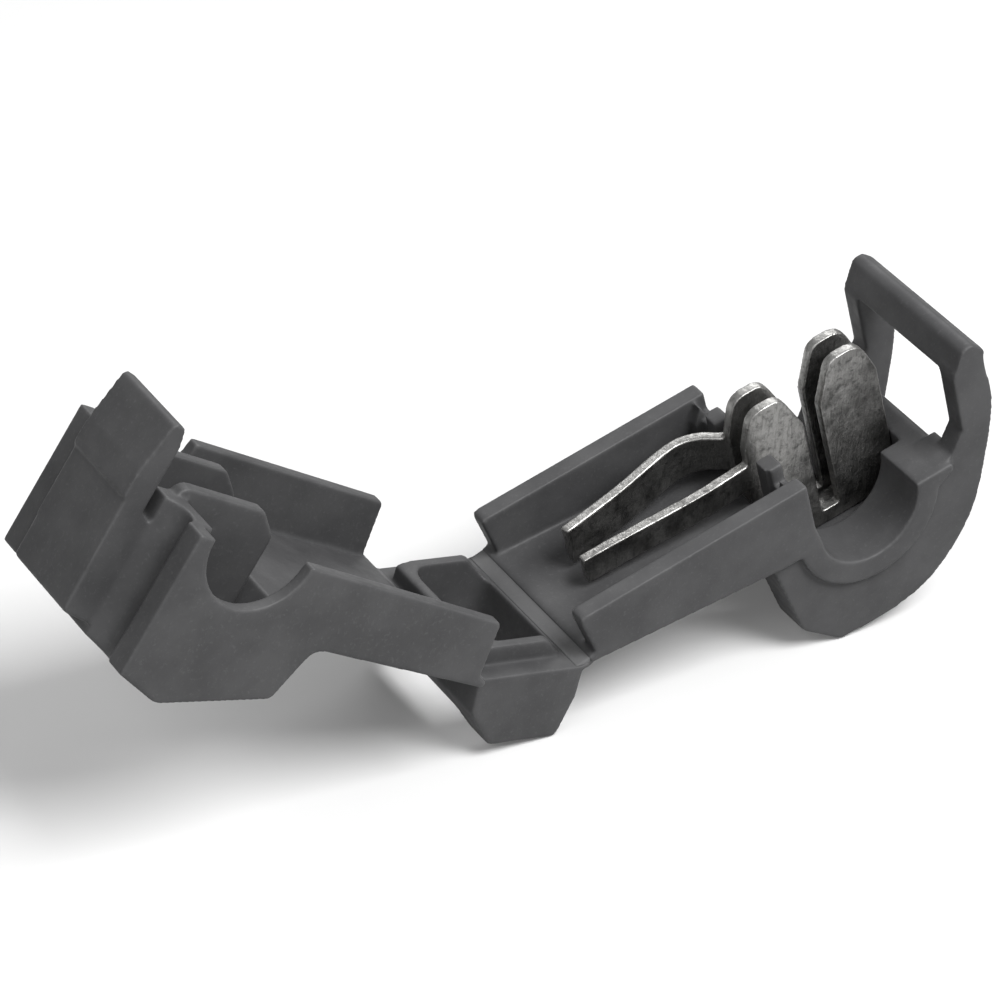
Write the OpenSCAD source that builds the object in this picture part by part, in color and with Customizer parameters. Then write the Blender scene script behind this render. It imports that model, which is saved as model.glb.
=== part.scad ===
// T-tap connector: open wire tap with one folded contact, drawn in its resting pose.
// The moulding is one piece that bends at two living hinges, so it is split only there.

/* [Barrel] */
// Width of the moulding across the wire channel
body_w = 11.1; // [9:0.1:14]
// Wall height of the base trough above its hinge line
base_h = 3.2; // [2.8:0.1:4.5]
// Wall height of the cover trough above its hinge line
cover_h = 3.75; // [3.2:0.1:5]
// Side wall thickness of both troughs
wall_t = 1.1; // [0.7:0.05:1.6]
// Floor thickness of both troughs
floor_t = 0.55; // [0.4:0.05:0.9]
// Length of the bare lip between the base hinge and the side walls
lip_l = 0.65; // [0.4:0.05:1.2]
// Distance from the hinge to the wall that closes the trough
trough_l = 13.85; // [11:0.1:16]
// How far the barrel deepens towards the wire channel
barrel_drop = 1.4; // [0.4:0.1:2.2]

/* [Wire channel] */
// Distance from the wall that closes the trough to the wire axis
wire_gap = 4.1; // [3.4:0.1:5]
// Depth of the wire axis below the parting plane
wire_drop = 4.15; // [2.6:0.1:5.2]
// Radius of the wire channel
wire_r = 3.1; // [2:0.05:3.4]
// Wall of the half round collar
collar_t = 1.4; // [0.9:0.05:1.8]
// Length of each collar along the wire
collar_l = 2.25; // [1.4:0.05:2.8]
// How far each collar stands out from its side plate
collar_out = 0.35; // [0.2:0.05:1]
// Distance from the wire axis to the bottom of the side plates
plate_r = 7.9; // [6.4:0.1:9]
// Inner face of the latch frame measured from the wire axis
frame_x = 6.55; // [5.8:0.1:8]
// Thickness of the latch frame along the barrel
frame_t = 2.05; // [1.6:0.1:3]
// Width of each upright bar of the latch frame
bar_w = 1.35; // [1:0.05:1.8]
// Height of the latch crossbar's underside above the wire axis
bar_under = 5.0; // [4.8:0.1:7.2]
// Height of the latch crossbar
bar_h = 1.8; // [1.6:0.1:3]

/* [Cover head] */
// Side wall of the cover, which passes outside the base
cover_wall_t = 0.8; // [0.6:0.05:1.1]
// Length of bare cover floor between its hinge and its walls
cover_lip = 0.8; // [0.5:0.1:1.4]
// How far the tongue's plate stands out from the side walls' ends
tongue_out = 2.3; // [1:0.1:2.4]
// Half width of the tongue
tongue_y = 2.7; // [2.4:0.1:3.6]
// How far the cover's barrel deepens towards its head
cover_drop = 0.4; // [0:0.1:1.4]
// Length of the cover's head from its foot to the latch end
head_l = 11.7; // [9:0.1:12.6]
// Depth of the head below the cover's barrel
head_drop = 3.6; // [2.6:0.1:4.6]
// Extra depth of the crown over the wire
crown = 1.8; // [0.6:0.1:2]
// Wall thickness of the cover's head
head_t = 1; // [0.8:0.05:1.4]
// Length of the tongue past the parting plane
tongue_l = 3.7; // [1.4:0.1:3.8]
// Step of the latch ledge on the outer face of the tongue
barb = 0.15; // [0.1:0.05:0.3]
// Distance that the tongue leans outwards from its foot to its ledge
lean = 0.3; // [0.2:0.1:0.8]
// Thickness of the tongue
tongue_t = 1.6; // [1.2:0.1:1.8]
// Radius of the grooves between the tongue and the side walls
groove_r = 1.2; // [0.8:0.1:1.4]
// How deep these grooves cut into the end of the head
groove_in = 0.8; // [0.4:0.1:1]
// Length of the slope from the barrel down to the head
foot_x = 0.9; // [0.5:0.1:1.4]
// Distance from the cover's foot corner to its end
foot_out = 5.2; // [4.4:0.1:6]
// Thickness of the plates that press on the wire
rib_t = 0.8; // [0.5:0.05:1.1]
// Reach of those plates past the parting plane
rib_out = 0.6; // [0.6:0.1:1.7]

/* [Entry frame] */
// Depth of the entry frame along the tab
entry_l = 4.3; // [3.4:0.1:6]
// Thickness of the two entry frame bars beside the hinges
entry_bar = 0.85; // [0.8:0.05:1.2]
// Height of the locating rim on the entry frame
rim_h = 1.1; // [0.6:0.05:1.25]
// Thickness of the locating rim
rim_t = 0.6; // [0.4:0.05:0.8]

/* [Contact] */
// Sheet thickness of the contact
sheet_t = 0.6; // [0.4:0.05:0.8]
// Spacing of the two contact layers, middle to middle
layer_gap = 1.65; // [1.2:0.05:2]
// Width of each tine
tine_w = 3.8; // [3.2:0.1:4]
// Width of the slot between the tines
slot_w = 1.1; // [0.8:0.05:1.6]
// Height of the tine tips above the wire axis
tine_h = 7; // [6:0.1:8.8]
// Length of the rounded tip of each tine
tine_tip = 2.2; // [1.6:0.1:3]
// How much lower the tine next to the barrel is
tine_step = 0.6; // [0:0.1:1]
// Distance from the hinge to the tips of the two arms
arm_tip = 3.1; // [2.4:0.1:4]
// How far the bend of the far arm lies from its middle, towards the tips
arm_bow = 1.4; // [0.6:0.1:2]
// Depth of the fold under the wire axis
root_drop = 3.6; // [3.4:0.1:4.2]
// Height of the far receptacle arm above the trough floor
arm_h = 2.9; // [2:0.1:3.4]

/* [Fit and pose] */
// Running gap between pieces that pass each other
gap = 0.1; // [0.05:0.01:0.2]
// Radius of the round web at each living hinge
web_r = 0.18; // [0.12:0.01:0.25]
// Angle that the base's hinge is bent from flat in the pose shown
bend_base = 28; // [0:1:44]
// Angle that the cover's hinge is bent from flat in the pose shown
bend_cover = 21; // [0:1:44]

/* [Hidden] */
half_w = body_w / 2;
entry_w = base_h + cover_h;
head_x = trough_l + 0.8;
wire_x = trough_l + wire_gap;
wire_z = base_h - wire_drop;
cover_end = wire_x + frame_x - gap;
collar_r = wire_r + collar_t;
plate_y = half_w - collar_out;
bar_y = plate_y - bar_w;
core_y = plate_y - 2.3;
chamber_y = layer_gap / 2 + sheet_t / 2 + gap;
inner_y = half_w - wall_t;
cover_in_y = half_w + gap;
cover_y = cover_in_y + cover_wall_t;
hinge_x = web_r + 0.03;
rib_y = chamber_y + 0.35;
rib_end = wire_x + wire_r + 0.5;
root_z = wire_z - root_drop;
tine_end = slot_w / 2 + tine_w;
cavity_x = wire_x + tine_end + gap;
rim_x = -entry_w + floor_t + gap;
wall_end = cover_end - tongue_out;
head_end = wall_end - groove_in - cover_wall_t;
head_x0 = cover_end - head_l - foot_x;
foot_z = -head_drop - crown;
ledge_z = entry_w - (wire_z + bar_under) + gap;
layer_y = layer_gap / 2;
arm_mid = (trough_l + arm_tip) / 2 - arm_bow;

// Points of a corner that is rounded with radius r between two straight sides.
function unit(v) = v / norm(v);
function corner(a, b, c, r, n) =
    let (u = unit(a - b), w = unit(c - b), half = acos(u * w) / 2)
    let (d = min(r / tan(half), norm(a - b) * 0.49, norm(c - b) * 0.49))
    [for (i = [0:n]) let (t = i / n)
        b + u * d * pow(1 - t, 2) + w * d * pow(t, 2)];

// A closed outline with one radius for each of its corners.
function rounded(p, r, n = 4) =
    let (k = len(p))
    [for (i = [0:k - 1])
        for (q = r[i] <= 0 ? [p[i]] : corner(p[(i + k - 1) % k], p[i], p[(i + 1) % k], r[i], n)) q];

// A smooth line through points, with n steps between neighbours.
function bend_at(a, b, c, d, t) =
    0.5 * (2 * b + (c - a) * t + (2 * a - 5 * b + 4 * c - d) * t * t
        + (3 * b - a - 3 * c + d) * t * t * t);
function smooth(p, n = 4) =
    let (k = len(p) - 1)
    concat([for (i = [0:k - 1]) for (j = [0:n - 1])
        bend_at(p[max(i - 1, 0)], p[i], p[i + 1], p[min(i + 2, k)], j / n)], [p[k]]);

// A side view outline, x along the barrel and z up, swept from y0 to y1.
module plate(outline, y0, y1) {
    translate([0, y1, 0])
        rotate([90, 0, 0])
            linear_extrude(y1 - y0)
                polygon(outline);
}

// The same outline on both sides of the middle.
module pair(outline, y0, y1) {
    plate(outline, y0, y1);
    plate(outline, -y1, -y0);
}

// A round bar or bore along the wire direction.
module across(x, z, r, y0, y1) {
    translate([x, y1, z])
        rotate([90, 0, 0])
            cylinder(r = r, h = y1 - y0, $fn = 48);
}

module base_barrel() {
    low = -barrel_drop;
    outer = rounded([
        [hinge_x, 0], [hinge_x, floor_t * 0.7], [lip_l, floor_t], [hinge_x, base_h],
        [head_x, base_h], [head_x, low], [head_x - 2, low]],
        [0, 0, 0, 0.35, 0, 0, 0]);
    inner = [
        [lip_l - 1, floor_t], [trough_l, floor_t + low * 0.8],
        [trough_l, base_h + 1], [lip_l - 1, base_h + 1]];
    difference() {
        plate(outer, -half_w, half_w);
        plate(inner, -inner_y, inner_y);
        // relief where the end wall steps down at the far and near walls
        pair([[trough_l - 0.9, base_h - 1.1], [trough_l + 2, base_h - 1.1],
            [trough_l + 2, base_h + 1], [trough_l - 0.9, base_h + 1]], inner_y - 1.3, inner_y + 0.01);
    }
}

// Outline of one side plate, which carries the collar and becomes a frame bar.
function plate_outline() =
    let (x = wire_x, z = wire_z, r = plate_r, fx = wire_x + frame_x, ft = frame_t)
    concat(
        [[head_x - 1.2, base_h - 1.3], [head_x - 1.2, z + 0.9]],
        rounded([[x - r * 0.8, z + 0.5], [x - r * 0.66, z - r * 0.72], [x - r * 0.4, z - r * 0.98]],
            [0, 0.9, 0]),
        smooth([
            [x - r * 0.3, z - r * 0.99], [x + r * 0.05, z - r], [x + r * 0.42, z - r * 0.9],
            [x + r * 0.78, z - r * 0.57], [x + r * 0.99, z - r * 0.1],
            [fx + ft + 0.1, z + 2.4], [fx + ft, z + bar_under]]),
        [[fx + 0.2, z + bar_under + 0.5], [fx, z + bar_under],
        [fx, z + 1.4], [fx - 0.9, z + 0.2], [x + collar_r, z],
        [x, z], [x - wire_r, z + 0.2], [x - wire_r - 0.9, base_h - 0.2]]);

// Outline of the latch crossbar, with a ramp that leads the tongue in.
function latch_outline() =
    let (fx = wire_x + frame_x, z = wire_z + bar_under)
    rounded([
        [fx, z], [fx + 0.85, z + bar_h * 0.9], [fx + frame_t * 0.72, z + bar_h],
        [fx + frame_t + 0.15, z + bar_h * 0.55], [fx + frame_t, z]],
        [0.15, 0.5, 0.5, 0.5, 0], 5);

module base_head() {
    fx = wire_x + frame_x;
    core = rounded([
        [head_x - 1, wire_z - 3.2], [wire_x - 3.4, wire_z - 6], [wire_x + 3.6, wire_z - 6],
        [fx - 0.4, wire_z - 2.4], [fx - 0.6, wire_z], [wire_x, wire_z],
        [wire_x - wire_r - 0.9, base_h], [head_x - 1, base_h]],
        [0.6, 1.2, 1.6, 1, 0.5, 0, 0.3, 0], 5);
    difference() {
        union() {
            plate(core, -core_y, core_y);
            pair(plate_outline(), bar_y, plate_y);
            // the plate is thicker below the channel than its bar above
            intersection() {
                pair(plate_outline(), core_y - 0.01, bar_y + 0.01);
                translate([0, -half_w, wire_z - 20])
                    cube([fx - 0.4, body_w, 20.2]);
            }
            for (side = [-1, 1])
                intersection() {
                    across(wire_x, wire_z, collar_r,
                        side > 0 ? half_w - collar_l : -half_w,
                        side > 0 ? half_w : collar_l - half_w);
                    translate([wire_x - collar_r, -half_w, wire_z - collar_r])
                        cube([2 * collar_r, body_w, collar_r]);
                }
            // shoulders that lead from the end wall to the collars
            pair(rounded([
                [head_x - 0.8, wire_z + 0.5], [wire_x - wire_r - 0.2, wire_z - 2.4],
                [wire_x - wire_r + 0.6, wire_z - 0.4], [wire_x - wire_r - 0.9, base_h - 0.2],
                [head_x - 0.8, base_h - 0.2]], [0, 0.8, 0, 0.5, 0]), bar_y, half_w);
            // small ears where each collar runs out into the latch frame
            pair(rounded([
                [wire_x + collar_r - 0.5, wire_z], [wire_x + collar_r - 0.5, wire_z - 1.2],
                [wire_x + collar_r + 1, wire_z - 0.5], [wire_x + collar_r + 1, wire_z]],
                [0, 0, 0.4, 0.2]), plate_y - 0.1, half_w);
        }
        // wire channel, open at the top
        across(wire_x, wire_z, wire_r, -body_w, body_w);
        plate([[wire_x - wire_r, wire_z], [wire_x + wire_r, wire_z], [wire_x + wire_r, base_h + 2],
            [wire_x - wire_r - 0.9, base_h + 0.6]], -body_w, body_w);
    }
}

// Places a piece drawn in the base's own frame.
module in_base() {
    rotate([0, rest_tilt, 0])
        children();
}

// Places a piece drawn in the entry frame's own frame.
module in_entry() {
    in_base()
        rotate([0, bend_base, 0])
            children();
}

// Places a piece drawn in the cover's own frame, which runs the other way.
module in_cover() {
    in_entry()
        translate([-entry_w, 0, 0])
            rotate([0, bend_cover, 0])
                mirror([1, 0, 0])
                    children();
}

// Room for the contact: a chamber for its tines and a slot through the end wall.
module contact_room() {
    plate(rounded([
        [wire_x - tine_end - gap, root_z - gap], [wire_x + tine_end + gap, root_z - gap],
        [wire_x + tine_end + gap, base_h + tine_h], [wire_x - tine_end - gap, base_h + tine_h]],
        [0.4, 0.4, 0, 0]), -chamber_y - 0.7, chamber_y + 0.7);
    translate([trough_l - wall_t, -chamber_y - 0.3, floor_t])
        cube([wire_gap, 2 * chamber_y + 0.6, base_h + tine_h]);
}

module base_half() {
    color([0.24, 0.24, 0.25])
        on_table()
            in_base() {
                difference() {
                    union() {
                        base_barrel();
                        base_head();
                    }
                    contact_room();
                }
                plate(latch_outline(), -plate_y, plate_y);
            }
}

// Outline of the entry frame in its own frame, hanging below its two hinges.
function entry_outline() =
    rounded([
        [-web_r, 0], [-0.25, -entry_l * 0.45], [-0.9, -entry_l],
        [-entry_w + 1.8, -entry_l], [-entry_w + 0.25, -entry_l * 0.5], [-entry_w + web_r, 0]],
        [0, 0.6, 0.5, 0.7, 0.8, 0]);

module entry_frame() {
    win_x0 = rim_x + rim_t;
    win_y = half_w - wall_t - rim_t - gap;
    color([0.24, 0.24, 0.25])
        on_table()
            in_entry()
                difference() {
                    union() {
                        plate(entry_outline(), -half_w, half_w);
                        // locating rim, which enters the cover's trough when it is closed
                        plate(rounded([
                            [-entry_bar, -0.1], [-entry_bar - 1.2, rim_h], [rim_x + rim_t + 0.2, rim_h],
                            [rim_x, rim_h * 0.85], [rim_x, -0.1]],
                            [0, 0.3, 0.2, 0.2, 0]), -win_y - rim_t, win_y + rim_t);
                        across(0, 0, web_r, -half_w, half_w);
                        across(-entry_w, 0, web_r, -half_w, half_w);
                        plate([[-web_r - 0.2, -0.3], [0, -web_r], [0, 0], [-web_r - 0.2, 0]],
                            -half_w, half_w);
                        plate([[-entry_w + web_r + 0.2, -0.3], [-entry_w, -web_r], [-entry_w, 0],
                            [-entry_w + web_r + 0.2, 0]], -half_w, half_w);
                    }
                    // opening for the tab
                    translate([0, 0, -entry_l - 1])
                        linear_extrude(entry_l + rim_h + 2)
                            polygon(rounded([
                                [win_x0, -win_y], [-entry_bar, -win_y],
                                [-entry_bar, win_y], [win_x0, win_y]],
                                [1.2, 1.2, 1.2, 1.2], 5));
                }
}

// Outline of the cover's head and barrel in side view, from the hinge to the latch.
function cover_outline(end_x, top_z) =
    let (e = cover_end, hx = head_x0, d = -head_drop, k = -cover_drop)
    concat(
        [[hinge_x, 0.12], [hinge_x + 0.2, 0]],
        corner([hinge_x, 0], [hx, k], [hx + foot_x, d], 1, 4),
        corner([hx, k], [hx + foot_x, d], [e - foot_out, foot_z], 0.5, 4),
        corner([hx + foot_x, d], [e - foot_out, foot_z], [e, d], 1.2, 4),
        corner([e - foot_out, foot_z], [e, d], [e, 0], 0.4, 4),
        [[end_x, top_z]],
        corner([end_x, top_z], [cover_lip + 0.7, top_z], [cover_lip, floor_t], 0.3, 3),
        [[cover_lip, floor_t], [hinge_x, floor_t * 0.7]]);

// The plate that closes the head and runs on as the latch tongue.
function tongue_outline() =
    let (e = cover_end, tip = cover_h + tongue_l, d = -head_drop)
    concat(
        [[wall_end - 0.4, d - 0.3]],
        corner([wall_end, d], [e - lean, d], [e - barb, ledge_z], 0.35, 3),
        [[e - barb, ledge_z]],
        rounded([[e - barb, ledge_z], [e, ledge_z + 0.05], [e - 0.05, ledge_z + 1.6],
            [e - 0.55, tip], [e - 1.3, tip - 0.1], [e - tongue_t, tip - 1.2], [e - tongue_t, cover_h - 1.2]],
            [0, 0, 0.6, 0.3, 0.3, 0.5, 0]),
        [[wall_end - 0.4, cover_h - 2]]);

module cover_half() {
    e = cover_end;
    hx = head_x0;
    color([0.24, 0.24, 0.25])
        on_table()
            in_cover() {
                difference() {
                    union() {
                        difference() {
                            intersection() {
                                plate(cover_outline(e, cover_h), -cover_y, cover_y);
                                translate([0, -cover_y, -40])
                                    cube([wall_end, 2 * cover_y, 80]);
                            }
                            // barrel trough and head cavity
                            plate([[-1, floor_t], [hx + 1.4, floor_t - cover_drop * 0.9],
                                [hx + 1.4, cover_h + 1], [-1, cover_h + 1]], -cover_in_y, cover_in_y);
                            plate(rounded([
                                [hx + foot_x + 0.2, floor_t - cover_drop], [hx + foot_x + head_t, -head_drop + head_t],
                                [e - foot_out, foot_z + head_t],
                                [head_end, -head_drop + head_t], [head_end, cover_h + 1],
                                [hx + foot_x + 0.2, cover_h + 1]], [0, 0.4, 0.6, 0.4, 0, 0]),
                                -cover_in_y, cover_in_y);
                        }
                        // plates that press the wire into the slots, one on each side of the contact
                        pair(rounded([
                            [head_x - 0.3, -head_drop + 0.2], [rib_end, -head_drop + 0.2],
                            [rib_end, cover_h - rib_out], [rib_end - rib_out, cover_h + rib_out],
                            [head_x + 1, cover_h + rib_out], [head_x - 0.3, cover_h - rib_out]],
                            [0, 0, 0.6, 0.8, 0.8, 0.6]), rib_y, rib_y + rib_t);
                    }
                    plate([[wire_x, 0.2 - head_drop], [cavity_x, 0.2 - head_drop],
                        [cavity_x, cover_h + 1], [wire_x, cover_h + 1]],
                        -rib_y, rib_y);
                    // wire notches in both walls
                    for (side = [-1, 1])
                        across(wire_x, cover_h, wire_r + gap,
                            side > 0 ? cover_in_y - 0.5 : -cover_y - 1,
                            side > 0 ? cover_y + 1 : 0.5 - cover_in_y);
                    // side walls stop short of the tongue, so that the frame bars have room
                    for (side = [-1, 1])
                        translate([wall_end + groove_r - groove_in, side * (tongue_y + groove_r), -head_drop - crown])
                            cylinder(r = groove_r, h = cover_h + head_drop + crown + 1, $fn = 32);
                }
                difference() {
                    plate(tongue_outline(), -tongue_y, tongue_y);
                    // room for the tines when the part is closed
                    plate([[wire_x, 0.2 - head_drop], [cavity_x, 0.2 - head_drop],
                        [cavity_x, cover_h + tongue_l + 1], [wire_x, cover_h + tongue_l + 1]],
                        -rib_y, rib_y);
                }
            }
}

// One layer of the contact, both tines and the slot between them.
module layer(y0) {
    root = root_z;
    for (side = [-1, 1])
        let (top = wire_z + tine_h - (side < 0 ? tine_step : 0))
        plate(rounded([
            [wire_x + side * slot_w / 2, root], [wire_x + side * (slot_w / 2 + tine_w), root],
            [wire_x + side * (slot_w / 2 + tine_w), top - tine_tip],
            [wire_x + side * (slot_w / 2 + tine_w * 0.8), top],
            [wire_x + side * (slot_w / 2 + tine_w * 0.28), top],
            [wire_x + side * slot_w / 2, top - tine_tip - 0.4]],
            [0, 0, 1.4, 1.2, 1, 1.4], 5), y0 - sheet_t / 2, y0 + sheet_t / 2);
    plate([[wire_x - slot_w / 2 - 0.1, root], [wire_x + slot_w / 2 + 0.1, root],
        [wire_x + slot_w / 2 + 0.1, root + 1.5 * sheet_t],
        [wire_x - slot_w / 2 - 0.1, root + 1.5 * sheet_t]],
        y0 - sheet_t / 2, y0 + sheet_t / 2);
}

// An upright arm whose plan follows a smooth line.
module arm(path, z0, z1) {
    n = len(path) - 1;
    side = [for (i = [0:n])
        let (d = unit(path[min(i + 1, n)] - path[max(i - 1, 0)]))
        [-d[1], d[0]] * sheet_t / 2];
    translate([0, 0, z0])
        linear_extrude(z1 - z0)
            polygon(concat([for (i = [0:n]) path[i] + side[i]],
                [for (i = [n:-1:0]) path[i] - side[i]]));
}

module contact() {
    root = root_z;
    tine_x = wire_x - slot_w / 2 - tine_w;
    floor_z = floor_t - barrel_drop * 0.8 + 0.15;
    color([0.72, 0.72, 0.7])
        on_table()
            in_base() {
                layer(layer_y);
                layer(-layer_y);
                // fold that joins the two layers under the wire
                plate([[tine_x, root], [tine_x + 2 * tine_w + slot_w, root],
                    [tine_x + 2 * tine_w + slot_w, root + sheet_t], [tine_x, root + sheet_t]],
                    -layer_y, layer_y);
                // receptacle arms, the far one bowed outwards
                arm(smooth([[tine_x + 0.2, layer_y], [trough_l + 0.6, layer_y], [trough_l - 0.2, layer_y + 0.35],
                    [trough_l - 1.4, 2.2], [trough_l - 3, 2.5], [arm_mid, 1.65], [arm_tip + 0.2, 1.05]], 5),
                    floor_t + 0.1, floor_t + arm_h - 0.45);
                arm(smooth([[tine_x + 0.2, -layer_y], [trough_l, -layer_y], [trough_l - 3.4, -1],
                    [arm_mid - 0.6, -0.85], [arm_tip, -0.75]], 4),
                    floor_t + 0.1, floor_t + arm_h - 1.15);
            }
}

// The part rests on the base's side plates and on the lower edge of the entry frame,
// so the tilt of the whole comes from those two outlines.
function turned(p, a) = [p[0] * cos(a) + p[1] * sin(a), p[1] * cos(a) - p[0] * sin(a)];
function entry_in_base(p) = turned(p, bend_base);
function cover_in_base(p) = entry_in_base(turned([-p[0], p[1]], bend_cover) + [-entry_w, 0]);
function lowest(pts, a) = let (z = [for (p = pts) turned(p, a)[1]]) pts[search(min(z), z)[0]];
function tilt(a, b) = atan2(b[1] - a[1], b[0] - a[0]);
entry_pts = [for (p = entry_outline()) entry_in_base(p)];
cover_pts = [for (p = cover_outline(cover_end, cover_h)) cover_in_base(p)];
first_tilt = tilt(lowest(entry_pts, 0), lowest(plate_outline(), 0));
next_tilt = tilt(lowest(entry_pts, first_tilt), lowest(plate_outline(), first_tilt));
rest_tilt = tilt(lowest(entry_pts, next_tilt), lowest(plate_outline(), next_tilt));
all_pts = [for (p = concat(entry_pts, cover_pts, plate_outline(), latch_outline())) turned(p, rest_tilt)];
span_x = [for (p = all_pts) p[0]];
span_z = [for (p = all_pts) p[1]];

// Lifts the resting part onto the ground and centres it.
module on_table() {
    translate([-(min(span_x) + max(span_x)) / 2, 0, -min(span_z)])
        children();
}

base_half();
entry_frame();
cover_half();
contact();
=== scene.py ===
"""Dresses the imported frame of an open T-tap connector.

The moulding is one piece of dark nylon with two living hinges, and the contact is a folded,
tin-plated strip. The solids of the frame give every shape and size. This script softens
their edges as a mould and a press do, closes the hinges with thin webs, and adds finishes,
light and a camera.
"""

from __future__ import annotations

import logging
import math
import sys
from dataclasses import dataclass, field
from enum import Enum
from typing import Iterable

import bpy
import numpy as np
from mathutils import Matrix

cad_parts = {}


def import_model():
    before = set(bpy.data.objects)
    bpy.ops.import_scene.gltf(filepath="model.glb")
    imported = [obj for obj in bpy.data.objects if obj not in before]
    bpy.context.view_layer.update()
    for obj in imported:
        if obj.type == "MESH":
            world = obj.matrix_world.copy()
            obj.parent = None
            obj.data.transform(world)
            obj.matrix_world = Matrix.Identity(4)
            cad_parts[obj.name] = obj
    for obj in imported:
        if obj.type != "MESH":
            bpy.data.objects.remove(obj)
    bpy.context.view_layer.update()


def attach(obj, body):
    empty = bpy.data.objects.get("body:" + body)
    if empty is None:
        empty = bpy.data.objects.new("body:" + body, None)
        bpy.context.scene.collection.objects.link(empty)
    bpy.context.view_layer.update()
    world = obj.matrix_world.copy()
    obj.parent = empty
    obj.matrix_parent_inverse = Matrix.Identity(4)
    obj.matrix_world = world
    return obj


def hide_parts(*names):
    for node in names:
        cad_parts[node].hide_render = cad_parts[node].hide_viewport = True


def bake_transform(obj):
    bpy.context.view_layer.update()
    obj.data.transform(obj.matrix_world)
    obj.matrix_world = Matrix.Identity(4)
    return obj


LOG = logging.getLogger("t_tap")
MM = 0.001
MOST_TRIANGLES = 190_000

# Angles of the three lengths of the moulding above the table, as shown, in degrees.
BASE_LEAN = 17.003
ENTRY_LEAN = -10.997
COVER_LEAN = -31.997

# The width of the camera's sensor in millimetres, and of the picture in pixels.
SENSOR = 36.0
PICTURE = 1000.0


class Body(Enum):
    """The bodies of the frame, which the pieces ride on."""

    BASE = "base"
    ENTRY = "entry"
    COVER = "cover"


class Slot(Enum):
    """The finishes that the record names."""

    NYLON = "nylon"
    PLATING = "plated_metal"


@dataclass(frozen=True)
class Surface:
    """A mesh as plain arrays.

    Fields:
        points: coordinates in metres.
        faces: four point numbers for each face.
        fans: three point numbers for each face of the closed ends.
        values: named numbers, one for each point, which the finishes read.
    """

    points: np.ndarray
    faces: np.ndarray
    fans: np.ndarray | None = None
    values: dict[str, np.ndarray] = field(default_factory=dict)

    def to_object(self, name: str) -> bpy.types.Object:
        """Makes the mesh object, smooth shaded and lying at the origin.

        Args:
            name: name of the new object.

        Returns:
            The new object, linked to the scene.
        """
        mesh = bpy.data.meshes.new(name)
        faces = self.faces.tolist() + ([] if self.fans is None else self.fans.tolist())
        mesh.from_pydata(self.points.tolist(), [], faces)
        for key, numbers in self.values.items():
            layer = mesh.attributes.new(key, "FLOAT", "POINT")
            layer.data.foreach_set("value", numbers.astype(np.float32))
        mesh.polygons.foreach_set("use_smooth", np.ones(len(mesh.polygons), dtype=bool))
        mesh.update()
        made = bpy.data.objects.new(name, mesh)
        bpy.context.scene.collection.objects.link(made)
        return made


def neighbour_mean(values: np.ndarray, edges: np.ndarray) -> np.ndarray:
    """Mean of the values at the points that each point shares an edge with.

    Args:
        values: one row for each point.
        edges: pairs of point numbers.

    Returns:
        An array like values.
    """
    total = len(values)
    ends = np.concatenate([edges[:, 0], edges[:, 1]])
    others = np.concatenate([edges[:, 1], edges[:, 0]])
    count = np.maximum(np.bincount(ends, minlength=total), 1)
    flat = values.reshape(total, -1)
    columns = [np.bincount(ends, weights=flat[others, k], minlength=total) / count
               for k in range(flat.shape[1])]
    return np.stack(columns, axis=1).reshape(values.shape)


def edges_of(faces: np.ndarray) -> np.ndarray:
    """The edges of a set of faces with equally many corners, each edge once.

    Args:
        faces: point numbers, one row for each face.

    Returns:
        Pairs of point numbers.
    """
    pairs = np.concatenate([np.stack([faces[:, k], np.roll(faces, -1, axis=1)[:, k]], axis=1)
                            for k in range(faces.shape[1])])
    return np.unique(np.sort(pairs, axis=1), axis=0)


def point_normals(points: np.ndarray, faces: np.ndarray) -> np.ndarray:
    """Normal at each point, as the sum of its faces' normals weighted by their area.

    A face's normal is the cross product of its two diagonals.

    Args:
        points: coordinates.
        faces: four point numbers for each face.

    Returns:
        Unit vectors, one for each point.
    """
    across = points[faces[:, 2]] - points[faces[:, 0]]
    along = points[faces[:, 3]] - points[faces[:, 1]]
    face = np.cross(across, along)
    total = np.stack([sum(np.bincount(faces[:, c], weights=face[:, k], minlength=len(points))
                          for c in range(4)) for k in range(3)], axis=1)
    size = np.linalg.norm(total, axis=1, keepdims=True)
    return total / np.maximum(size, 1e-15)


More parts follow.
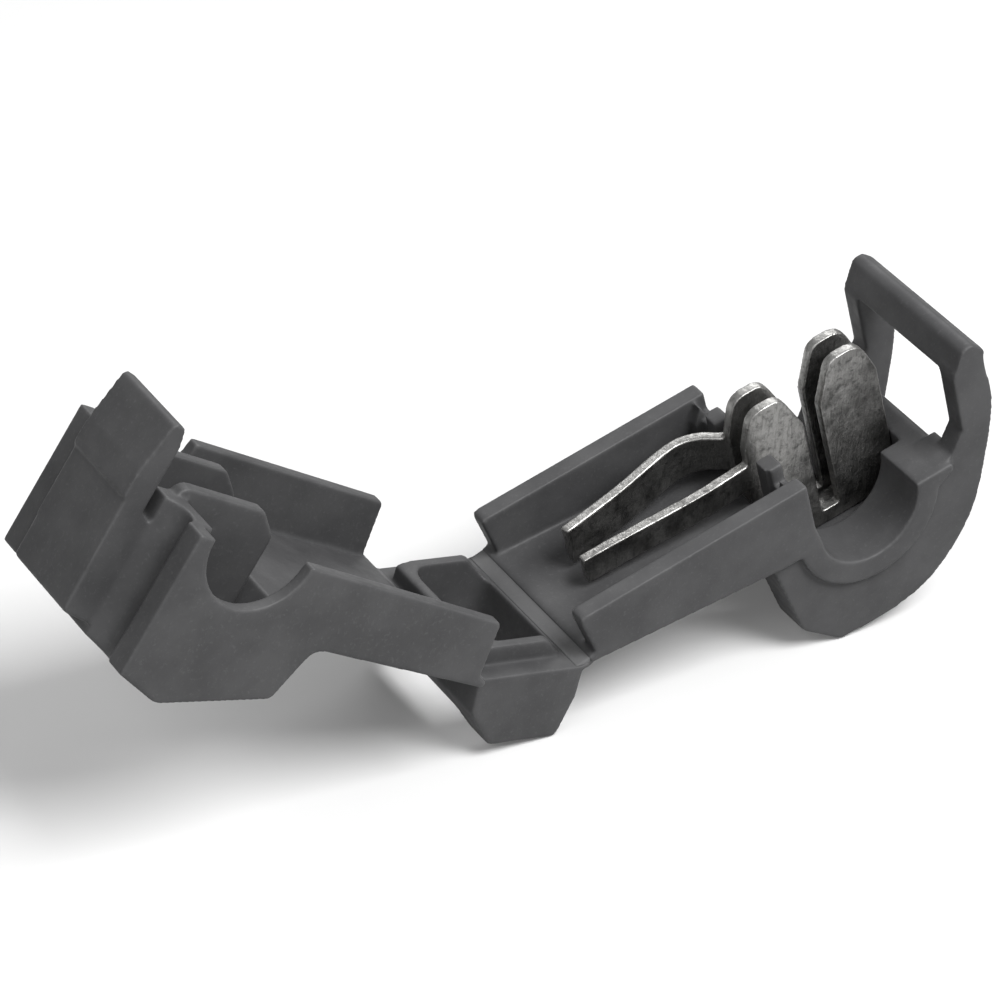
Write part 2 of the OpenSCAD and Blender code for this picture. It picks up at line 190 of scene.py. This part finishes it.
@dataclass(frozen=True)
class SoftEdges:
    """How a solid of the frame gets the rounded edges of a moulded or pressed piece.

    Fields:
        cell: side of the cells that the solid is sampled with, in millimetres.
        rounds: how often the points move towards their neighbours' mean.
        lean: angle of the solid's long direction above the table, in degrees. The cells are
            laid square to it, so that its walls and edges run along the cells.
        pull: part of the way that the points move each time.
        cavity_rounds: how many more rounds are run to find the hollows.
        cavity_unit: depth of a hollow that counts as 1, in millimetres.
        merge: points closer than this are one, in metres.
    """

    cell: float
    rounds: int
    lean: float
    pull: float = 0.5
    cavity_rounds: int = 48
    cavity_unit: float = 0.1
    merge: float = 1e-6

    def sample(self, source: bpy.types.Object) -> tuple[np.ndarray, np.ndarray]:
        """Samples a merged copy of a solid as an even grid of four-sided faces.

        Args:
            source: the object that holds the solid.

        Returns:
            Points and faces.
        """
        mesh = source.data.copy()
        square = Matrix.Rotation(math.radians(self.lean), 4, "Y")
        mesh.transform(square)
        copy = bpy.data.objects.new("sampled", mesh)
        bpy.context.scene.collection.objects.link(copy)
        weld = copy.modifiers.new("merge", "WELD")
        weld.merge_threshold = self.merge
        cells = copy.modifiers.new("cells", "REMESH")
        cells.mode = "VOXEL"
        cells.voxel_size = self.cell * MM
        graph = bpy.context.evaluated_depsgraph_get()
        graph.update()
        done = copy.evaluated_get(graph).to_mesh()
        points = np.empty(len(done.vertices) * 3, dtype=np.float64)
        done.vertices.foreach_get("co", points)
        sizes = np.empty(len(done.polygons), dtype=np.int64)
        done.polygons.foreach_get("loop_total", sizes)
        corners = np.empty(len(done.loops), dtype=np.int64)
        done.loops.foreach_get("vertex_index", corners)
        if sizes.min() != 4 or sizes.max() != 4:
            raise RuntimeError("the sampled solid has faces without four corners")
        bpy.data.objects.remove(copy)
        bpy.data.meshes.remove(mesh)
        return points.reshape(-1, 3) @ np.array(square)[:3, :3], corners.reshape(-1, 4)

    def relax(self, points: np.ndarray, edges: np.ndarray, rounds: int) -> np.ndarray:
        """Moves each point p to p + pull * (mean of its neighbours - p), many times over.

        Args:
            points: coordinates.
            edges: pairs of point numbers.
            rounds: how many times the points move.

        Returns:
            The moved points.
        """
        for _ in range(rounds):
            points = points + self.pull * (neighbour_mean(points, edges) - points)
        return points

    def soften(self, source: bpy.types.Object) -> Surface:
        """Rounds the edges of a solid.

        A few rounds of relax turn a sharp edge into an arc about as wide as the cells that took
        part. Three values go with each point. "crest" is the distance from the point to its
        neighbours' mean, measured against its normal and divided by the cell, then evened out
        twice: positive on an outer edge, negative in a corner. "cavity" is how far the point
        would move along its normal, in cavity units, if the rounds went on for cavity_rounds:
        positive in hollows and grooves. "cut" is 1 - |y of the normal|, which is 1 on the cut
        edges of a strip that stands along x.

        Args:
            source: the object that holds the solid.

        Returns:
            The rounded surface with its three values.
        """
        points, faces = self.sample(source)
        edges = edges_of(faces)
        points = self.relax(points, edges, self.rounds)
        normals = point_normals(points, faces)
        bulge = -np.einsum("ij,ij->i", neighbour_mean(points, edges) - points, normals)
        crest = bulge / (self.cell * MM)
        for _ in range(2):
            crest = 0.5 * crest + 0.5 * neighbour_mean(crest, edges)
        settled = self.relax(points, edges, self.cavity_rounds)
        cavity = np.einsum("ij,ij->i", settled - points, normals) / (self.cavity_unit * MM)
        cut = 1.0 - np.abs(normals[:, 1])
        return Surface(points, faces, values={"crest": crest, "cavity": cavity, "cut": cut})


def thinned(piece: bpy.types.Object, most: int) -> bpy.types.Object:
    """Merges the faces of a piece where it is flat, until few enough triangles are left.

    Args:
        piece: the object that is changed.
        most: how many triangles it may have.

    Returns:
        The same object.
    """
    count = sum(len(face.vertices) - 2 for face in piece.data.polygons)
    if count <= most:
        return piece
    fewer = piece.modifiers.new("fewer", "DECIMATE")
    fewer.ratio = most / count
    graph = bpy.context.evaluated_depsgraph_get()
    graph.update()
    old = piece.data
    made = bpy.data.meshes.new_from_object(piece.evaluated_get(graph), depsgraph=graph)
    piece.modifiers.clear()
    piece.data = made
    bpy.data.meshes.remove(old)
    made.name = piece.name
    return piece


def closed_sweep(profile: np.ndarray, low: float, high: float, rows: int) -> Surface:
    """A closed bar: a closed profile in x and z, carried along y.

    The point in row i and column j is (profile x of j, y of i, profile z of j), with y going
    evenly from low to high. A fan of triangles about the profile's mean closes each end.

    Args:
        profile: points of the outline in x and z, in metres, anticlockwise where x points
            to the right and z up.
        low: first y, in metres.
        high: last y, in metres.
        rows: how many rows of points there are.

    Returns:
        The closed surface.
    """
    count = len(profile)
    grid = np.empty((rows, count, 3))
    grid[:, :, 0] = profile[None, :, 0]
    grid[:, :, 1] = np.linspace(low, high, rows)[:, None]
    grid[:, :, 2] = profile[None, :, 1]
    index = np.arange(rows * count).reshape(rows, count)
    turn = np.roll(index, -1, axis=1)
    side = np.stack([index[:-1], index[1:], turn[1:], turn[:-1]], axis=-1).reshape(-1, 4)
    mean = profile.mean(axis=0)
    ends = [[mean[0], low, mean[1]], [mean[0], high, mean[1]]]
    first, last = rows * count, rows * count + 1
    near = np.stack([np.full(count, first), index[0], turn[0]], axis=1)
    far = np.stack([np.full(count, last), turn[-1], index[-1]], axis=1)
    return Surface(np.concatenate([grid.reshape(-1, 3), ends]), side, np.concatenate([near, far]))


class Nodes:
    """A short way to write a node material."""

    def __init__(self, name: str) -> None:
        """Starts an empty material.

        Args:
            name: name of the material.
        """
        self.material = bpy.data.materials.new(name)
        self.material.use_nodes = True
        self.tree = self.material.node_tree
        self.tree.nodes.clear()
        self.output = self.tree.nodes.new("ShaderNodeOutputMaterial")

    def add(self, kind: str, **values: object) -> bpy.types.Node:
        """Adds a node and sets its fields or, where it has no such field, its inputs.

        Args:
            kind: Blender's name of the node type.
            **values: fields or inputs by name, with spaces written as underscores.

        Returns:
            The node.
        """
        node = self.tree.nodes.new(kind)
        for key, value in values.items():
            if hasattr(node, key):
                setattr(node, key, value)
            else:
                node.inputs[key.replace("_", " ")].default_value = value
        return node

    def link(self, source: bpy.types.NodeSocket, target: bpy.types.NodeSocket) -> None:
        """Joins two sockets."""
        self.tree.links.new(source, target)

    def point_value(self, name: str) -> bpy.types.NodeSocket:
        """The value of that name which goes with each point of the mesh."""
        return self.add("ShaderNodeAttribute", attribute_name=name).outputs["Fac"]

    def noise(self, place: bpy.types.NodeSocket, scale: float, detail: float = 3.0,
              rough: float = 0.55) -> bpy.types.NodeSocket:
        """Noise at so many cells to the metre.

        Args:
            place: the coordinates.
            scale: cells in a metre.
            detail: how many finer layers are added.
            rough: how strong the finer layers are.

        Returns:
            The noise value, near 0.5 on the whole.
        """
        node = self.add("ShaderNodeTexNoise", Scale=scale, Detail=detail, Roughness=rough)
        self.link(place, node.inputs["Vector"])
        return node.outputs["Fac"]

    def remap(self, value: bpy.types.NodeSocket, low: float, high: float, to_low: float,
              to_high: float) -> bpy.types.NodeSocket:
        """Maps a range of values to another one, clamped.

        Args:
            value: what is mapped.
            low: value that becomes to_low.
            high: value that becomes to_high.
            to_low: first end of the new range.
            to_high: second end of the new range.

        Returns:
            The mapped value.
        """
        node = self.add("ShaderNodeMapRange", From_Min=low, From_Max=high, To_Min=to_low,
                        To_Max=to_high)
        self.link(value, node.inputs["Value"])
        return node.outputs["Result"]

    def math(self, operation: str, first: object, second: object) -> bpy.types.NodeSocket:
        """Arithmetic on two values, each a socket or a number.

        Args:
            operation: Blender's name of the operation.
            first: a socket or a number.
            second: a socket or a number.

        Returns:
            The result.
        """
        node = self.add("ShaderNodeMath", operation=operation)
        for socket, value in zip(node.inputs, (first, second)):
            if isinstance(value, (int, float)):
                socket.default_value = value
            else:
                self.link(value, socket)
        return node.outputs[0]

    def blend(self, factor: bpy.types.NodeSocket, first: object,
              second: object) -> bpy.types.NodeSocket:
        """Mixes two colours, each a socket or three numbers.

        Args:
            factor: 0 gives the first colour and 1 the second.
            first: a socket or three numbers.
            second: a socket or three numbers.

        Returns:
            The mixed colour.
        """
        node = self.add("ShaderNodeMix", data_type="RGBA")
        self.link(factor, node.inputs["Factor"])
        for key, value in (("A", first), ("B", second)):
            socket = [s for s in node.inputs if s.name == key and s.type == "RGBA"][0]
            if isinstance(value, tuple):
                socket.default_value = (*value, 1.0)
            else:
                self.link(value, socket)
        return [s for s in node.outputs if s.type == "RGBA"][0]

    def bump(self, height: bpy.types.NodeSocket, strength: float, distance: float,
             below: bpy.types.NodeSocket | None = None) -> bpy.types.NodeSocket:
        """A bump from a height value.

        Args:
            height: the height, 0 to 1.
            strength: how much of the bump shows.
            distance: real height of a full step, in metres.
            below: normal of the bump beneath this one.

        Returns:
            The normal.
        """
        node = self.add("ShaderNodeBump", Strength=strength, Distance=distance)
        self.link(height, node.inputs["Height"])
        if below is not None:
            self.link(below, node.inputs["Normal"])
        return node.outputs["Normal"]

    def finish(self, shader: bpy.types.Node,
               **sockets: bpy.types.NodeSocket) -> bpy.types.Material:
        """Feeds a shader and joins it to the material's surface.

        Args:
            shader: the shader node.
            **sockets: what goes into its inputs, by name with spaces as underscores.

        Returns:
            The finished material.
        """
        for key, socket in sockets.items():
            self.link(socket, shader.inputs[key.replace("_", " ")])
        self.link(shader.outputs[0], self.output.inputs["Surface"])
        return self.material


@dataclass(frozen=True)
class NylonFinish:
    """Dark grey moulded nylon: semi-matt and grainy, with painted edge highlights and painted
    shade in hollows.

    Fields:
        body: main colour.
        cloud: colour of the slightly paler drifts in it.
        speck: colour of its fine specks.
        edge_highlight: painted highlight, the colour of the outer edges.
        hollow: painted shade, the colour in corners and hollows.
        stressed: colour where the nylon is bent.
        gloss: smallest and largest roughness.
        drift_cells: drifts in a metre.
        flow_cells: waves in a metre.
        grain_cells: grains in a metre.
        wave: height of the waves, in metres.
        grit: height of the grains, in metres.
    """

    body: tuple[float, float, float] = (0.034, 0.034, 0.035)
    cloud: tuple[float, float, float] = (0.045, 0.045, 0.046)
    speck: tuple[float, float, float] = (0.07, 0.07, 0.071)
    edge_highlight: tuple[float, float, float] = (0.085, 0.085, 0.086)
    hollow: tuple[float, float, float] = (0.020, 0.020, 0.021)
    stressed: tuple[float, float, float] = (0.085, 0.085, 0.086)
    gloss: tuple[float, float] = (0.46, 0.62)
    drift_cells: float = 260.0
    flow_cells: float = 900.0
    grain_cells: float = 5200.0
    wave: float = 0.00005
    grit: float = 0.000012

    def make(self) -> bpy.types.Material:
        """Builds the material."""
        n = Nodes("moulded_nylon")
        place = n.add("ShaderNodeTexCoord").outputs["Object"]
        crest = n.point_value("crest")
        drift = n.noise(place, self.drift_cells, 4.0, 0.6)
        grain = n.noise(place, self.grain_cells, 2.0, 0.6)
        flow = n.noise(place, self.flow_cells, 3.0, 0.5)
        tone = n.blend(n.remap(drift, 0.38, 0.64, 0.0, 1.0), self.body, self.cloud)
        speck = n.blend(n.remap(grain, 0.58, 0.74, 0.0, 0.35), tone, self.speck)
        # Painted highlight: outer edges, where crest is above 0.05, are lightened towards a pale
        # grey, mottled by the flow noise.
        edge = n.math("MULTIPLY", n.remap(crest, 0.05, 0.30, 0.0, 1.0),
                      n.remap(flow, 0.34, 0.62, 0.25, 1.0))
        coloured = n.blend(edge, speck, self.edge_highlight)
        # Painted shade: corners (crest below -0.04) and hollows (cavity above 0.25) are darkened
        # towards a near-black grey.
        cavity = n.point_value("cavity")
        hollow = n.math("MAXIMUM", n.remap(crest, -0.04, -0.30, 0.0, 0.5),
                        n.remap(cavity, 0.25, 1.6, 0.0, 0.62))
        coloured = n.blend(hollow, coloured, self.hollow)
        bent = n.point_value("whitened")
        coloured = n.blend(n.math("MULTIPLY", bent, 0.85), coloured, self.stressed)
        rough = n.math("SUBTRACT", n.remap(flow, 0.3, 0.7, *self.gloss),
                       n.math("MULTIPLY", edge, 0.06))
        waves = n.bump(flow, 0.25, self.wave)
        normal = n.bump(grain, 0.35, self.grit, waves)
        shader = n.add("ShaderNodeBsdfPrincipled", Specular_IOR_Level=0.16, IOR=1.53)
        return n.finish(shader, Base_Color=coloured, Roughness=rough, Normal=normal)


@dataclass(frozen=True)
class PlatingFinish:
    """Tin plating on a stamped strip: grainy grey, with bright cut edges, painted edge highlights
    and painted fold shade.

    Fields:
        bright: colour of the unstained plating.
        dull: colour of the stained plating.
        crevice: dark colour of the grain's pits and the rolling marks, and painted shade in the
            folds.
        sheared: colour of the cut edges.
        sharp_edge_highlight: painted highlight, the colour of the sharpest edges.
        lighter_tine: colour of the one pair of tines that is lighter than the rest.
        lighter_tine_at: their x, in metres.
        lighter_tine_reach: distances from there where the lighter colour starts to fade and is
            gone.
        gloss: smallest and largest roughness.
        stain_cells: stains in a metre.
        grain_cells: grains in a metre.
        roll_cells: rolling marks in a metre, across them.
        fine_cells: the finest pits in a metre.
        grit: height of the grains, in metres.
        mark: height of the rolling marks, in metres.
        pit: depth of the finest pits, in metres.
    """

    bright: tuple[float, float, float] = (0.26, 0.257, 0.250)
    dull: tuple[float, float, float] = (0.100, 0.099, 0.096)
    crevice: tuple[float, float, float] = (0.035, 0.035, 0.034)
    sheared: tuple[float, float, float] = (0.33, 0.327, 0.318)
    sharp_edge_highlight: tuple[float, float, float] = (0.62, 0.615, 0.60)
    lighter_tine: tuple[float, float, float] = (0.30, 0.297, 0.288)
    lighter_tine_at: float = 0.0154
    lighter_tine_reach: tuple[float, float] = (0.0012, 0.0030)
    gloss: tuple[float, float] = (0.30, 0.54)
    stain_cells: float = 620.0
    grain_cells: float = 2600.0
    roll_cells: float = 7000.0
    fine_cells: float = 9000.0
    grit: float = 0.00006
    mark: float = 0.00003
    pit: float = 0.00001

    def make(self) -> bpy.types.Material:
        """Builds the material."""
        n = Nodes("tin_plating")
        place = n.add("ShaderNodeTexCoord").outputs["Object"]
        crest = n.point_value("crest")
        grain = n.noise(place, self.grain_cells, 4.0, 0.65)
        stain = n.noise(place, self.stain_cells, 4.0, 0.6)
        fine = n.noise(place, self.fine_cells, 2.0, 0.6)
        tone = n.blend(n.remap(stain, 0.36, 0.62, 0.0, 1.0), self.dull, self.bright)
        tone = n.blend(n.remap(grain, 0.30, 0.50, 0.75, 0.0), tone, self.crevice)
        # The one pair of tines at that x is made lighter than the rest, mottled by the grain.
        apart = n.add("ShaderNodeSeparateXYZ")
        n.link(place, apart.inputs[0])
        away = n.math("ABSOLUTE", n.math("SUBTRACT", apart.outputs["X"], self.lighter_tine_at), 0.0)
        lighter_tine = n.math("MULTIPLY", n.remap(away, *self.lighter_tine_reach, 1.0, 0.0),
                       n.remap(grain, 0.36, 0.56, 0.35, 0.95))
        tone = n.blend(lighter_tine, tone, self.lighter_tine)
        cut = n.point_value("cut")
        sheared = n.math("MULTIPLY", n.remap(cut, 0.55, 0.85, 0.0, 1.0),
                         n.remap(grain, 0.34, 0.58, 0.25, 1.0))
        tone = n.blend(sheared, tone, self.sheared)
        # Painted highlight: the sharpest edges (crest above 0.05) turn towards a near-white grey,
        # mottled by the stain noise.
        edge = n.math("MULTIPLY", n.remap(crest, 0.05, 0.26, 0.0, 0.7),
                      n.remap(stain, 0.40, 0.60, 0.3, 1.0))
        tone = n.blend(edge, tone, self.sharp_edge_highlight)
        # Painted shade: the inner corners of the folds (crest below -0.03) are darkened.
        tone = n.blend(n.remap(crest, -0.03, -0.25, 0.0, 0.8), tone, self.crevice)
        smoothest, roughest = self.gloss
        rough = n.remap(grain, 0.3, 0.7, roughest, smoothest)
        long = n.add("ShaderNodeMapping", Scale=(1.0, 1.0, 0.12),
                     Rotation=(0.0, math.radians(-BASE_LEAN), 0.0))
        n.link(place, long.inputs["Vector"])
        rolled = n.noise(long.outputs["Vector"], self.roll_cells, 3.0, 0.6)
        tone = n.blend(n.remap(rolled, 0.52, 0.70, 0.0, 0.35), tone, self.crevice)
        marks = n.bump(rolled, 0.5, self.mark, n.bump(grain, 0.7, self.grit))
        normal = n.bump(fine, 0.35, self.pit, marks)
        shader = n.add("ShaderNodeBsdfPrincipled", Metallic=1.0)
        return n.finish(shader, Base_Color=tone, Roughness=rough, Normal=normal)


@dataclass(frozen=True)
class PaleFloorFinish:
    """A plain pale table top.

    Fields:
        colour: its colour.
        lift: a faint light of its own, which keeps the shadows soft.
    """

    colour: tuple[float, float, float] = (0.40, 0.40, 0.40)
    lift: float = 0.10

    def make(self) -> bpy.types.Material:
        """Builds the material."""
        n = Nodes("pale_floor")
        shader = n.add("ShaderNodeBsdfPrincipled", Base_Color=(*self.colour, 1.0), Roughness=0.9,
                       Specular_IOR_Level=0.0, Emission_Color=(1.0, 1.0, 1.0, 1.0),
                       Emission_Strength=self.lift)
        return n.finish(shader)


@dataclass(frozen=True)
class HingeWeb:
    """A thin web of nylon that bends at a living hinge.

    Its middle line starts inside one half, passes straight above the hinge's axis and ends
    inside the other half. Each half is given by the angle of its floor in the x-z plane.

    Fields:
        axis: x and z of the hinge, in millimetres.
        first: angle of the first half's floor, away from the hinge, in degrees.
        second: the same for the second half.
        height: how far each end lies above a line through the axis along its half's floor, in
            millimetres.
        reach: how far the line runs into each half, in millimetres.
        rise: how far the middle of the line lies above the axis, in millimetres.
        thick: thickness of the web at its first end, its middle and its last end, in
            millimetres.
        bend_reach: distance from the axis, in millimetres, within which Moulding.web picks out
            the middle line's points; nothing bends them.
        white_reach: distance from the axis where the whitening is down to 1/e, in millimetres.
        rows: how many rows of points go across the part.
    """

    axis: tuple[float, float]
    first: float
    second: float
    height: tuple[float, float]
    reach: tuple[float, float]
    rise: float
    thick: tuple[float, float, float]
    bend_reach: float = 0.30
    white_reach: float = 0.5
    rows: int = 61

    def line(self, steps: int = 14) -> np.ndarray:
        """The middle line: a curve B(t) = (1-t)^2 A + 2t(1-t) M + t^2 C, for t from 0 to 1.

        A and C are the ends, and M is chosen so that B(1/2) is the point H straight above the
        hinge's axis, which gives M = 2 H - (A + C) / 2.

        Args:
            steps: how many parts the curve has.

        Returns:
            Its points, in millimetres.
        """
        axis = np.array(self.axis)
        ends = []
        halves = zip((self.first, self.second), (1, -1), self.height, self.reach)
        for angle, sign, height, reach in halves:
            turn = math.radians(angle)
            floor = np.array([math.cos(turn), math.sin(turn)])
            upward = sign * np.array([-math.sin(turn), math.cos(turn)])
            ends.append(axis + reach * floor + height * upward)
        middle = 2.0 * (axis + np.array([0.0, self.rise])) - 0.5 * (ends[0] + ends[1])
        t = np.linspace(0.0, 1.0, steps + 1)[:, None]
        return (1 - t) ** 2 * ends[0] + 2 * t * (1 - t) * middle + t ** 2 * ends[1]

    def surface(self, half_width: float) -> Surface:
        """The web, as a closed band about its middle line, swept across the part.

        The band's half thickness goes from the first value to the middle one and on to the last
        one along half a cosine wave each. Its whitening is exp(-(d / white_reach)^2), with d
        the distance from the hinge's axis.

        Args:
            half_width: half of the part's width, in millimetres.

        Returns:
            The surface in metres, with its whitening.
        """
        line = self.line()
        ahead = np.gradient(line, axis=0)
        ahead /= np.linalg.norm(ahead, axis=1, keepdims=True)
        across = np.stack([-ahead[:, 1], ahead[:, 0]], axis=1)
        t = np.linspace(0.0, 2.0, len(line))
        start, middle, end = self.thick
        swell = 0.5 * (1 + np.cos(math.pi * t))
        half = 0.5 * np.where(t < 1, middle + (start - middle) * swell,
                              middle + (end - middle) * swell)
        one, other = line + across * half[:, None], line - across * half[:, None]
        profile = np.concatenate([one, other[::-1]])
        x, z = profile.T
        area = np.sum(x * np.roll(z, -1) - z * np.roll(x, -1))
        profile = profile if area > 0 else profile[::-1]
        made = closed_sweep(profile * MM, -half_width * MM, half_width * MM, self.rows)
        offset = made.points[:, [0, 2]] / MM - np.array(self.axis)
        made.values["whitened"] = np.exp(-np.sum(offset ** 2, axis=1) / self.white_reach ** 2)
        return made


@dataclass
class Moulding:
    """The one-piece nylon moulding: base, entry frame, cover, and the webs between them.

    Fields:
        nylon: its finish.
        cell: cell size for its rounded edges, in millimetres.
        rounds: how many rounds its edges are softened.
        base_web: the web between base and entry frame.
        cover_web: the web between entry frame and cover.
        half_width: half of a web's width, in millimetres.
    """

    nylon: bpy.types.Material
    cell: float = 0.1
    rounds: int = 4
    base_web: HingeWeb = HingeWeb(
        axis=(2.074, 3.987), first=BASE_LEAN, second=180.0 + ENTRY_LEAN,
        height=(0.30, -0.16), reach=(0.62, 0.66), rise=0.10, thick=(0.38, 0.46, 0.34))
    cover_web: HingeWeb = HingeWeb(
        axis=(-4.748, 5.313), first=ENTRY_LEAN, second=180.0 + COVER_LEAN,
        height=(-0.16, 0.26), reach=(0.52, 0.62), rise=0.06, thick=(0.30, 0.36, 0.34))
    half_width: float = 5.47

    def shell(self, name: str, node: str, body: Body, lean: float) -> bpy.types.Object:
        """Makes the softened copy of one solid, which then stands for it.

        Args:
            name: name of the piece.
            node: name of the solid in the frame.
            body: the body that it rides on.
            lean: angle of its long direction, in degrees.

        Returns:
            The piece.
        """
        edges = SoftEdges(self.cell, self.rounds, lean)
        piece = thinned(edges.soften(bpy.data.objects[node]).to_object(name), MOST_TRIANGLES)
        piece.data.materials.append(self.nylon)
        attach(piece, body.value)
        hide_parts(node)
        return piece

    def web(self, name: str, web: HingeWeb, first: Body, second: Body) -> bpy.types.Object:
        """Makes one web.

        Args:
            name: name of the piece.
            web: its shape.
            first: the body at its first end; not used.
            second: the body at its last end; not used.

        Returns:
            The piece.
        """
        piece = web.surface(self.half_width).to_object(name)
        piece.data.materials.append(self.nylon)
        line = web.line()
        near = np.linalg.norm(line - np.array(web.axis), axis=1) < web.bend_reach
        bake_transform(piece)
        return piece

    def pieces(self) -> Iterable[bpy.types.Object]:
        """Makes the pieces of the moulding, one after another."""
        yield self.shell("base_moulding", "base_half", Body.BASE, BASE_LEAN)
        yield self.shell("entry_moulding", "entry_frame", Body.ENTRY, ENTRY_LEAN)
        yield self.shell("cover_moulding", "cover_half", Body.COVER, COVER_LEAN)
        yield self.web("base_web", self.base_web, Body.BASE, Body.ENTRY)
        yield self.web("cover_web", self.cover_web, Body.ENTRY, Body.COVER)


@dataclass
class Contact:
    """The folded contact: two layers of slotted tines and two receptacle arms.

    Fields:
        plating: its finish.
        edges: how its stamped edges are rounded.
    """

    plating: bpy.types.Material
    edges: SoftEdges = SoftEdges(cell=0.075, rounds=3, lean=BASE_LEAN)

    def strip(self) -> bpy.types.Object:
        """Makes the softened copy of the contact, which then stands for its solid."""
        piece = self.edges.soften(bpy.data.objects["contact"]).to_object("contact_strip")
        thinned(piece, MOST_TRIANGLES)
        piece.data.materials.append(self.plating)
        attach(piece, Body.BASE.value)
        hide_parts("contact")
        return piece


@dataclass(frozen=True)
class Lamp:
    """A soft square lamp that looks at the part.

    Fields:
        name: its name.
        place: where it stands, in metres.
        side: side of its square, in metres.
        power: its power in watts.
        target: the point that it looks at, in metres.
    """

    name: str
    place: tuple[float, float, float]
    side: float
    power: float
    target: tuple[float, float, float] = (0.0, 0.0, 0.01)

    def make(self) -> bpy.types.Object:
        """Builds the lamp and turns it to the part."""
        data = bpy.data.lights.new(self.name, "AREA")
        data.shape = "SQUARE"
        data.size = self.side
        data.energy = self.power
        lamp = bpy.data.objects.new(self.name, data)
        bpy.context.scene.collection.objects.link(lamp)
        lamp.location = self.place
        away = np.array(self.place) - np.array(self.target)
        away /= np.linalg.norm(away)
        side = np.cross([0.0, 1.0, 0.0], away)
        side /= np.linalg.norm(side)
        up = np.cross(away, side)
        turn = np.stack([side, up, away], axis=1)
        lamp.rotation_euler = matrix_of(turn, self.place).to_euler()
        return lamp


def matrix_of(turn: np.ndarray, place: Iterable[float]) -> Matrix:
    """A 4 by 4 matrix from a rotation and a place.

    Args:
        turn: three columns, the images of x, y and z.
        place: the translation.

    Returns:
        The matrix.
    """
    full = np.eye(4)
    full[:3, :3] = turn
    full[:3, 3] = list(place)
    return Matrix(full.tolist())


@dataclass(frozen=True)
class Studio:
    """The pale floor, the soft light and the camera.

    Fields:
        azimuth: camera's turn about the vertical, in degrees.
        elevation: camera's height above the horizon, in degrees.
        roll: camera's turn about its own axis, in degrees.
        distance: from the camera to the point it looks at, in millimetres.
        scale: pixels to the millimetre at that point, in a picture 1000 pixels wide.
        target: x and z of the point, in millimetres.
        floor_half: half of the floor's side, in metres.
        floor_drop: how far the floor lies below the part, in metres.
        sky: strength of the world's even light.
        lamps: the lamps.
    """

    azimuth: float = -33.15
    elevation: float = 34.43
    roll: float = 3.84
    distance: float = 244.9
    scale: float = 19.3
    target: tuple[float, float] = (-0.46, 11.85)
    floor_half: float = 1.6
    floor_drop: float = 0.00005
    sky: float = 0.40
    lamps: tuple[Lamp, ...] = (
        Lamp("key", (0.10, -0.19, 0.34), 0.21, 3.5),
        Lamp("fill", (-0.34, -0.14, 0.34), 0.26, 1.05),
        Lamp("rear", (0.22, 0.36, 0.34), 0.30, 1.3),
    )

    def floor(self) -> bpy.types.Object:
        """Builds the floor under the part."""
        half = self.floor_half
        points = np.array([[-half, -half, 0.0], [half, -half, 0.0],
                           [half, half, 0.0], [-half, half, 0.0]])
        piece = Surface(points, np.array([[0, 1, 2, 3]])).to_object("floor")
        piece.location.z = -self.floor_drop
        piece.data.materials.append(PaleFloorFinish().make())
        return piece

    def light(self) -> None:
        """Sets the world's light and the lamps."""
        world = bpy.data.worlds.new("studio")
        bpy.context.scene.world = world
        world.use_nodes = True
        back = world.node_tree.nodes["Background"]
        back.inputs["Color"].default_value = (1.0, 1.0, 1.0, 1.0)
        back.inputs["Strength"].default_value = self.sky
        for lamp in self.lamps:
            lamp.make()

    def camera(self) -> bpy.types.Object:
        """Builds the camera from its angles.

        The view's back axis is (sin a cos e, -cos a cos e, sin e), its right axis before the
        roll is (cos a, sin a, 0), and the camera stands at target + distance * back. A lens of
        SENSOR * scale * distance / PICTURE gives the wanted scale.
        """
        a, e, r = (math.radians(v) for v in (self.azimuth, self.elevation, self.roll))
        back = np.array([math.sin(a) * math.cos(e), -math.cos(a) * math.cos(e), math.sin(e)])
        right = np.array([math.cos(a), math.sin(a), 0.0])
        up = np.cross(back, right)
        turned_right = math.cos(r) * right + math.sin(r) * up
        turned_up = -math.sin(r) * right + math.cos(r) * up
        place = (np.array([self.target[0], 0.0, self.target[1]]) + self.distance * back) * MM
        data = bpy.data.cameras.new("camera")
        data.sensor_width = SENSOR
        data.lens = SENSOR * self.scale * self.distance / PICTURE
        data.clip_start = 0.01
        data.clip_end = 10.0
        camera = bpy.data.objects.new("camera", data)
        bpy.context.scene.collection.objects.link(camera)
        camera.matrix_world = matrix_of(np.stack([turned_right, turned_up, back], axis=1), place)
        bpy.context.scene.camera = camera
        return camera


def main() -> None:
    """Builds the pieces in order and reports each one."""
    logging.basicConfig(level=logging.INFO, format="%(name)s: %(message)s", stream=sys.stdout)
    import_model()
    scene = bpy.context.scene
    scene.view_settings.view_transform = "Standard"
    studio = Studio()
    studio.camera()
    studio.floor()
    studio.light()
    moulding = Moulding(NylonFinish().make())
    for piece in moulding.pieces():
        LOG.info("%s: %d faces", piece.name, len(piece.data.polygons))
    strip = Contact(PlatingFinish().make()).strip()
    LOG.info("%s: %d faces", strip.name, len(strip.data.polygons))


if __name__ == "__main__":
    main()
